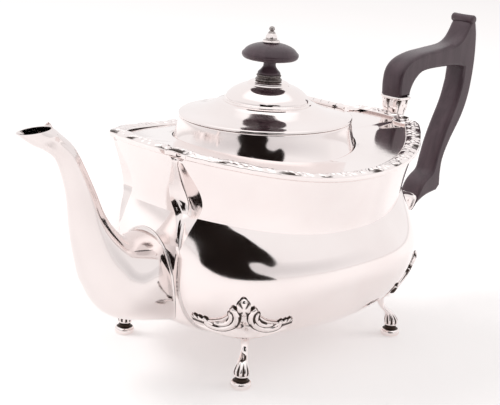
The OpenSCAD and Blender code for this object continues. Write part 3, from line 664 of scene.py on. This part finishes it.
def slab(name, points, width, profile):  # profile: depth in from the outline, share of the half width
    half = [[(x, width / 2 * w, z) for x, z in insetLine(points, d)] for d, w in profile]
    rows = half + [[(x, -y, z) for x, y, z in row] for row in reversed(half)]
    n, m = len(points), len(rows)
    flat = tessellate_polygon([[Vector((x, z, 0)) for x, z in insetLine(points, profile[0][0])]])
    faces = [(i * n + j, i * n + (j + 1) % n, (i + 1) * n + (j + 1) % n, (i + 1) * n + j)
             for i in range(m - 1) for j in range(n)]
    faces += [tuple(t) for t in flat] + [tuple((m - 1) * n + k for k in reversed(t)) for t in flat]
    points = [tuple(c * mm for c in p) for r in rows for p in r]
    return solidFrom(name, points, faces, sharpAngle=grip["crease"])


gripProfile = [(1.7, 1.0), (0.75, 0.93), (0.3, 0.8), (0.08, 0.62), (0.0, 0.4)]
rollEnd = [(0.2, 7.2), (1.5, 7.25), (2.1, 7.0), (2.45, 6.4)]
rollLine = rollEnd + [(grip["rollR"], 0)] + [(r, -y) for r, y in reversed(rollEnd)]
rollRows = [[(grip["rollX"] + r * math.cos(a), y, grip["rollZ"] + r * math.sin(a)) for a in turns(48)]
            for r, y in rollLine]
handleGrip = slab("handleGrip", outline, grip["width"], gripProfile)
handle = join("handleGrip", [handleGrip, skin("roll", rollRows, caps=True)])
dress(handle, ebony, "ebony", "pot", "handle")
print("handle made")


# sockets that hold the handle
socket = {"x": 90.3, "z": 113.5, "lowX": 108.3, "lowZ": 52.0, "footR": 9, "sides": 96, "leafLength": 11.0,
          "relief": 0.16}


def boxRing(x, z, a, b, tilt=0.0, relief=None):
    out, t = [], math.radians(tilt)
    for q in turns(socket["sides"]):
        k = (abs(math.cos(q)) ** 4 + abs(math.sin(q)) ** 4) ** -0.25 * (1 + (relief(q) if relief else 0))
        u = a * k * math.cos(q)
        out.append((x + u * math.cos(t), b * k * math.sin(q), z + u * math.sin(t)))
    return out


def leafRelief(q, f):  # overlapping leaves round the ferrule, f is 0 at the bead and 1 at the neck
    fan = abs(math.sin(3.0 * q + 0.4))
    tongue = max(0.0, 1 - abs(f - 0.45) * 1.9) * fan ** 0.8
    vein = 0.35 * abs(math.sin(12.0 * q)) * (1 - f)
    return tongue + vein * fan


half = grip["width"] / 2
upperRows, upperAges = [], []
for a in (math.pi * i / 12 for i in range(13)):  # bead under the wood
    swell = 0.45 * math.sin(a)
    upperRows.append(boxRing(socket["x"], socket["z"] - 0.75 + 0.75 * math.cos(a), 5.3 + swell, half + 0.5 + swell))
    upperAges += [0.0] * socket["sides"]
for f in (i / 30 for i in range(31)):
    deep, wide = blend(5.2, 3.7, f ** 1.3) * 0.97, blend(half + 0.2, 4.4, f ** 1.4) * 0.97
    upperRows.append(boxRing(socket["x"] - 0.4 * f, socket["z"] - 1.6 - socket["leafLength"] * f, deep, wide, 0,
                             lambda q: socket["relief"] * (leafRelief(q, f) - 0.5) * (1 - f) ** 0.5 * 0.7))
    upperAges += [max(0.0, 1 - 1.7 * leafRelief(q, f)) * (1 - f * 0.6) for q in turns(socket["sides"])]
upperEnd = min(v.co.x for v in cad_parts["upper_socket"].data.vertices) / mm  # where it meets the body
upperNeck = [[socket["x"] - 0.4, 12.9, 3.6, 4.2, 0], [socket["x"] - 2.6, 15.5, 3.4, 3.6, -25],
             [socket["x"] - 6.2, 17, 3.0, 2.8, -60], [upperEnd, 17.5, 2.8, 2.3, -90]]
for x, drop, a, b, tilt in catmull(upperNeck, 5):
    upperRows.append(boxRing(x, socket["z"] - drop, a, b, tilt))
    upperAges += [0.1] * socket["sides"]
upperSocket = skin("upperSocket", upperRows, caps=True, sharpRings=(12,), ages=upperAges)
dress(upperSocket, castSilver, "silver", "pot", "upper_socket")
lowFoot = []
for q in turns(socket["sides"]):
    y, z = socket["footR"] * math.sin(q), socket["lowZ"] + 2 + socket["footR"] * math.cos(q)
    lowFoot.append((pot["bodyX"] + endX(y, z, pot["handleRise"]) + 0.3, y, z))
# offsets from the lower end, half depth, growth of the half width, tilt
lowPath = [(-0.15, 0.1, 5.0, 0.2, 60), (-0.7, 0.4, 5.3, 0.5, 60), (-1.6, 0.8, 5.3, 0.5, 60),
           (-2.4, 1.2, 4.7, -0.4, 62), (-6, 2.3, 4.5, -0.8, 68), (-12, 3, 4.6, -0.8, 78), (-20, 2.5, 4.9, -0.6, 86)]
lowStations = [[socket["lowX"] + dx, socket["lowZ"] + dz, a, half + grow, tilt] for dx, dz, a, grow, tilt in lowPath]
lowRows = [boxRing(*s) for s in catmull(lowStations, 4)]
lowerSocket = skin("lowerSocket", lowRows + [lowFoot], caps=True, sharpRings=(0,))
dress(lowerSocket, silver, "silver", "pot", "lower_socket")
print("sockets made")


feet = {"x": 54.0, "y": 41.0, "crest": 46.0, "armHalf": 22.0, "reeds": 9, "hang": 0.75, "hangFrom": 28.0,
        "budZ": -5.2, "budWide": 2.9, "budTall": 4.7, "strokeSides": 10,
        "strokeGroove": 0.62, "leafGroove": 0.45}
footR = math.hypot(feet["x"], feet["y"])
crest = feet["crest"]
# lift off the belly, thickness, then points along the arm: distance from the middle and height from the crest
scrolls = [(1.0, 1.5, ((4.9, -6.0), (3.3, -7.8), (2.9, -11.2), (4.5, -14.8), (8.2, -17.3), (12.4, -17.6),
                       (15.6, -16.2), (15.8, -14.4))),
           (0.9, 1.05, ((5.6, -8.2), (5.2, -11.0), (6.6, -13.8), (9.4, -15.2), (12.6, -15.0)))]
sprayLine = ((13.6, -16.2, 0.9), (16.4, -14.2, 1.0), (18.8, -14.0, 0.9), (21.4, -13.0, 0.7))
leafTips = ((15.4, -15.3, 0.8), (17.6, -14.9, 0.7), (19.4, -14.3, 0.55))
padLine = [[0.05, 0], [4.3, 0.0], [4.75, 0.25], [4.98, 0.9], [5.0, 1.7], [4.9, 2.4], [4.4, 3.1], [3.2, 3.5],
           [2.8, 4.2], [2.95, 5.0], [3.45, 5.7], [3.4, 6.15], [0.05, 6.2]]


def apronTop(s):
    d = abs(s)
    if d < 0.16:
        return crest - 1.5 - 6 * (d / 0.16) ** 2
    if d < 0.42:
        return crest - 7.5 - 5 * (d - 0.16) / 0.26
    return crest - 12.5 - 1.6 * math.sin(math.pi * (d - 0.42) / 0.58)


def apronLow(s):
    return crest - 23.6 + 5.6 * abs(s) ** 1.6


def rope(points, radii, ups):  # a tapered round strip along a line
    rows = []
    for i, p in enumerate(points):
        a, b = Vector(points[max(0, i - 1)]), Vector(points[min(len(points) - 1, i + 1)])
        run = (b - a).normalized()
        across = run.cross(Vector(ups[i])).normalized()
        up = across.cross(run)
        rows.append([tuple(Vector(p) + across * radii[i] * math.cos(t) + up * radii[i] * math.sin(t))
                     for t in turns(feet["strokeSides"])])
    return rows


def skinR(z):  # the belly's reach towards a foot
    x, y, _ = bellyPoint(math.atan2(feet["y"], feet["x"]), z, 0)
    return math.hypot(x - pot["bodyX"], y)


def hangAt(z):  # how far the apron stands off where the belly curves in
    return feet["hang"] * max(0, skinR(feet["hangFrom"]) - skinR(z)) if z < feet["hangFrom"] else 0


def makeFoot(name, sx, sy, node):
    a0 = math.atan2(sy * feet["y"], sx * feet["x"])
    arm = feet["armHalf"] / footR
    bits = []

    def on(s, z, lift):
        return bellyPoint(a0 + s * arm, z, lift)

    def facing(s, z):
        du = Vector(on(s + 0.02, z, 0)) - Vector(on(s - 0.02, z, 0))
        dz = Vector(on(s, z + 0.3, 0)) - Vector(on(s, z - 0.3, 0))
        return du.cross(dz).normalized()

    def stroke(line, radii, groove=0.0):  # with a groove it lies deeper, wider and dark
        points = [on(s, z, lift - groove) for s, z, lift in line]
        strip = rope(points, [r + 0.72 * groove for r in radii], [facing(s, z) for s, z, _ in line])
        tones = [0.95 if groove else 0.75 if 0.55 < j / len(strip[0]) < 0.95 else 0.0 for j in range(len(strip[0]))]
        bits.append(skin("stroke", strip, caps=True, ages=tones * len(strip)))

    cols, rows = 72, 20
    apron, ages = [], []
    for s in (2 * i / cols - 1 for i in range(cols + 1)):
        column = []
        for f in (k / rows for k in range(rows + 1)):
            edge = min(f, 1 - f) * 2
            z = blend(apronTop(s), apronLow(s), f)
            column.append(on(s, z, 0.12 + 0.9 * (0.55 + 0.45 * (1 - edge) ** 2) + hangAt(z)))
            hollow = max(0, min(1, (abs(s) - 0.13) / 0.1)) * max(0, min(1, (0.62 - f) / 0.15))
            ages.append(0.9 * edge ** 0.6 * hollow)
        for f in (k / rows for k in range(rows, -1, -1)):  # its back
            z = blend(apronTop(s), apronLow(s), f)
            column.append(on(s, z, 0.12 + hangAt(z)))
            ages.append(0.4)
        apron.append(column)
    bits.append(skin("apron", apron, caps=True, ages=ages))

    for side in (-1, 1):
        unit = side / feet["armHalf"]
        for lift, size, points in scrolls:
            line = catmull([[d * unit, crest + z, lift] for d, z in points], 6)
            radii = [0.3 + size * math.sin(math.pi * min(1, 0.12 + i / len(line) * 0.85)) ** 0.7
                     for i in range(len(line))]
            stroke(line, radii)
            stroke(line, radii, groove=feet["strokeGroove"])
        spray = catmull([[d * unit, crest + z, lift] for d, z, lift in sprayLine], 6)
        stroke(spray, [0.85 - 0.55 * i / len(spray) for i in range(len(spray))])
        for d, z, size in leafTips:
            leaf = [((d + 1.3 * k / 5) * unit, crest + z + 0.4 + 2.0 * k / 5, 0.8) for k in range(6)]
            radii = [size * math.sin(math.pi * (0.15 + 0.75 * k / 5)) for k in range(6)]
            stroke(leaf, radii)
            stroke(leaf, radii, groove=feet["leafGroove"])

    bud, ages = [], []
    budZ, out = crest + feet["budZ"], facing(0, crest + feet["budZ"]) * 1.9
    for k in range(9):  # oval bud with a petalled edge
        t = math.pi / 2 * k / 8
        row = []
        for q in turns(48):
            petal = abs(math.cos(2 * q))
            r = math.cos(t) * (0.82 + 0.18 * petal)
            x, z = feet["budWide"] * r * math.cos(q), feet["budTall"] * r * math.sin(q)
            row.append(tuple(Vector(on(x / feet["armHalf"], budZ + z, 1.1)) + out * math.sin(t)))
            ages.append(0.9 * (1 - petal) * (k < 7))
        bud.append(row)
    bits.append(skin("boss", bud, ages=ages))

    # leg: reach from the pot's middle, height, half depth, half width
    leg = [[skinR(z) + hangAt(z) - 0.9, z, a, b]
           for z, a, b in ((crest - 16, 1.5, 4.0), (crest - 20, 1.6, 6.5), (crest - 23, 1.8, 4.6))]
    leg += [[footR - 6.6, crest - 26, 1.9, 2.4], [footR - 5.4, 15.5, 1.6, 1.7], [footR - 1.4, 11.6, 2.3, 2.5],
            [footR, 8, 3.5, 3.8], [footR, 5.9, 3.1, 3.5]]
    ca, sa = math.cos(a0), math.sin(a0)
    legRows, ages = [], []
    for r, z, a, b in catmull(leg, 8):
        reed = max(0.0, min(1.0, (12.4 - z) / 3.0))
        row = []
        for q in turns(72):
            wave = abs(math.cos(feet["reeds"] * q / 2))
            k = 1 - 0.16 * reed * (1 - wave)
            u, v = r + a * k * math.cos(q), b * k * math.sin(q)
            row.append((pot["bodyX"] + u * ca - v * sa, u * sa + v * ca, z))
            ages.append(reed * (1 - wave) * 1.5)
        legRows.append(row)
    bits.append(skin("leg", legRows, caps=True, ages=ages))
    padRows = lathe([padLine[0]] + catmull(padLine[1:-1], 4) + [padLine[-1]],
                    (pot["bodyX"] + footR * ca, footR * sa, 0), 48)
    bits.append(skin("pad", padRows, ages=[0.95 if 3.3 < z < 5.4 else 0.0 for row in padRows for _, _, z in row]))
    return dress(join(name, bits), castSilver, "silver", "pot", node)


makeFoot("footFrontSpout", -1, -1, "foot_front_spout")
makeFoot("footBackSpout", -1, 1, "foot_back_spout")
makeFoot("footFrontHandle", 1, -1, "foot_front_handle")
makeFoot("footBackHandle", 1, 1, "foot_back_handle")
print("feet made")


# plain solids that keep their shape
hidden = ("knob_washer", "knob_nut")
kept = ("base_plate", "hinge_body_knuckles", "hinge_pin", "hinge_lid_knuckles", "lid_bezel", "upper_rivet",
        "lower_rivet")
for node in kept + hidden:
    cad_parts[node].data.materials.clear()
    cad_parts[node].data.materials.append(brass if node in hidden else silver)


# floor, white surroundings and lamps
studio = {"floor": (0.90, 0.885, 0.88, 1), "floorCloud": (0.87, 0.852, 0.845, 1), "floorShown": (0.31, 0.30, 0.30, 1),
          "floorHalf": 9, "worldColour": (1, 0.985, 0.985, 1), "world": 0.62, "key": 9.0, "fill": 4.0,
          "cardFar": 0.72, "cardDark": (0.006, 0.005, 0.005, 1), "cardLight": (0.02, 0.014, 0.012, 1)}


def plate(name, corners):
    piece = solidFrom(name, [tuple(c) for c in corners], [tuple(range(len(corners)))])
    return piece


def matt(paint, **sockets):  # a surface without any gloss of its own
    paint.shader.inputs["Specular IOR Level"].default_value = 0.0
    return paint.finish(**sockets)


floorHalf = studio["floorHalf"]
floor = plate("floor", [(floorHalf * x, floorHalf * y, 0) for x, y in ((-1, -1), (1, -1), (1, 1), (-1, 1))])
paint = Paint("floorPaint")
rays = paint.add("ShaderNodeLightPath").socket.node.outputs
seen = Wire(paint, rays["Is Camera Ray"]) + Wire(paint, rays["Is Glossy Ray"])
tone = paint.mix(paint.noise(3.0, 2.0), studio["floor"], studio["floorCloud"])
shown = paint.mix(seen.clamp(), (0, 0, 0, 1), studio["floorShown"])
floor.data.materials.append(matt(paint, Base_Color=tone, Roughness=0.9, Emission_Strength=1.0, Emission_Color=shown))

world = bpy.data.worlds.new("tent")
bpy.context.scene.world = world
world.use_nodes = True
tree = world.node_tree
background = tree.nodes["Background"]
lightPath = tree.nodes.new("ShaderNodeLightPath")
bright = tree.nodes.new("ShaderNodeMath")
bright.operation = "MAXIMUM"
tree.links.new(lightPath.outputs["Is Camera Ray"], bright.inputs[0])
tree.links.new(lightPath.outputs["Is Glossy Ray"], bright.inputs[1])
level = tree.nodes.new("ShaderNodeMapRange")
level.inputs["To Min"].default_value, level.inputs["To Max"].default_value = studio["world"], 1.0
tree.links.new(bright.outputs[0], level.inputs["Value"])
tree.links.new(level.outputs[0], background.inputs["Strength"])
background.inputs["Color"].default_value = studio["worldColour"]


# camera: turn and lift round the target, then small turns of the view itself
shot = {"turn": 46.9, "lift": 14.0, "far": 605.0, "lens": 90.0, "sensor": 36.0, "target": (-7.0, 0.0, 88.3),
        "yaw": -0.587, "pitch": -1.79, "roll": 4.0}
a, e, yaw, pitch, roll = (math.radians(shot[k]) for k in ("turn", "lift", "yaw", "pitch", "roll"))
away = Vector((-math.sin(a) * math.cos(e), -math.cos(a) * math.cos(e), math.sin(e)))
ahead = -away
right = ahead.cross(Vector((0, 0, 1))).normalized()
up = right.cross(ahead)
yawed, yawRight = ahead * math.cos(yaw) + right * math.sin(yaw), right * math.cos(yaw) - ahead * math.sin(yaw)
look, lookUp = yawed * math.cos(pitch) + up * math.sin(pitch), up * math.cos(pitch) - yawed * math.sin(pitch)
camRight = yawRight * math.cos(roll) + lookUp * math.sin(roll)
camUp = lookUp * math.cos(roll) - yawRight * math.sin(roll)
camera = bpy.data.objects.new("camera", bpy.data.cameras.new("camera"))
bpy.context.scene.collection.objects.link(camera)
camera.data.lens, camera.data.sensor_width = shot["lens"], shot["sensor"]
camera.data.clip_start, camera.data.clip_end = 0.01, 60.0
pose = Matrix((camRight, camUp, -look)).transposed().to_4x4()
pose.translation = (Vector(shot["target"]) + away * shot["far"]) * mm
camera.matrix_world = pose
bpy.context.scene.camera = camera


def lamp(name, place, aim, size, power):
    light = bpy.data.lights.new(name, "AREA")
    light.shape, light.size, light.size_y, light.energy = "RECTANGLE", size[0], size[1], power
    piece = bpy.data.objects.new(name, light)
    bpy.context.scene.collection.objects.link(piece)
    piece.location = place
    piece.visible_glossy = False
    piece.rotation_euler = (Vector(aim) - Vector(place)).to_track_quat("-Z", "Y").to_euler()


lamp("keyLamp", (-0.5, 0.9, 1.3), (0, 0, 0.05), (0.9, 0.7), studio["key"])
lamp("fillLamp", (1.1, -0.8, 0.9), (0, 0, 0.06), (0.8, 0.8), studio["fill"])


def onlyInMetal(piece):
    piece.visible_camera = piece.visible_diffuse = piece.visible_shadow = False


# outline of the dark shape round the camera: right and up, in metres
darkOutline = [(-0.3, -0.52), (0.1, -0.58), (0.48, -0.5), (0.56, -0.33), (0.46, -0.2), (0.24, -0.12), (0.2, -0.02),
               (0.32, 0.03), (0.46, 0.0), (0.53, 0.12), (0.45, 0.26), (0.26, 0.31), (0.08, 0.26), (0.0, 0.14),
               (-0.07, 0.24), (-0.2, 0.24), (-0.26, 0.1), (-0.22, -0.04), (-0.33, -0.18), (-0.39, -0.36)]
darkLine = catmull([list(p) for p in darkOutline[-2:] + darkOutline + darkOutline[:2]], 6)[12:-12]
cardAt = Vector(shot["target"]) * mm + away * studio["cardFar"]
darkRoom = plate("darkRoom", [cardAt + right * x + up * y for x, y in darkLine])
ink = Paint("darkRoomPaint")
inkTone = ink.mix(ink.noise(30.0, 2.0), studio["cardDark"], studio["cardLight"])
darkRoom.data.materials.append(matt(ink, Base_Color=inkTone, Roughness=0.9))
onlyInMetal(darkRoom)


def veil(name, rows, strength, **sockets):  # a soft sheet, clear where strength is 0
    piece = skin(name, rows, around=False, ages=[v for line in strength for v in line])
    ink = Paint(name + "Paint")
    piece.data.materials.append(matt(ink, Alpha=ink.attribute("age"), Roughness=1.0, **sockets))
    onlyInMetal(piece)


def fade(i, n, power):
    return math.sin(math.pi * i / n) ** power


veils = {"bandFar": 1050, "bandLow": 40, "bandHigh": 480, "bandTurn": 100, "bandDark": 0.3,
         "bandColour": (0.17, 0.15, 0.175, 1), "glowZ": 1350, "glowHalf": 1100, "glow": 1.5}
towards = math.atan2(away.y, away.x)
bandAngles = [towards + math.radians(veils["bandTurn"]) * (j / 16 - 1) for j in range(33)]
bandRows = [[(veils["bandFar"] * math.cos(t), veils["bandFar"] * math.sin(t),
              blend(veils["bandLow"], veils["bandHigh"], i / 8)) for t in bandAngles] for i in range(9)]
veil("greyBand", bandRows,
     [[veils["bandDark"] * fade(i, 8, 0.8) * fade(j, 32, 0.7) for j in range(33)] for i in range(9)],
     Base_Color=veils["bandColour"])
glowSpots = [blend(-1, 1, i / 10) * veils["glowHalf"] for i in range(11)]
veil("glow", [[(x, y, veils["glowZ"]) for y in glowSpots] for x in glowSpots],
     [[fade(i, 10, 0.8) * fade(j, 10, 0.8) for j in range(11)] for i in range(11)],
     Base_Color=(0, 0, 0, 1), Emission_Color=(1, 1, 1, 1), Emission_Strength=veils["glow"])
print("studio made")

bpy.context.scene.view_settings.view_transform = "Standard"
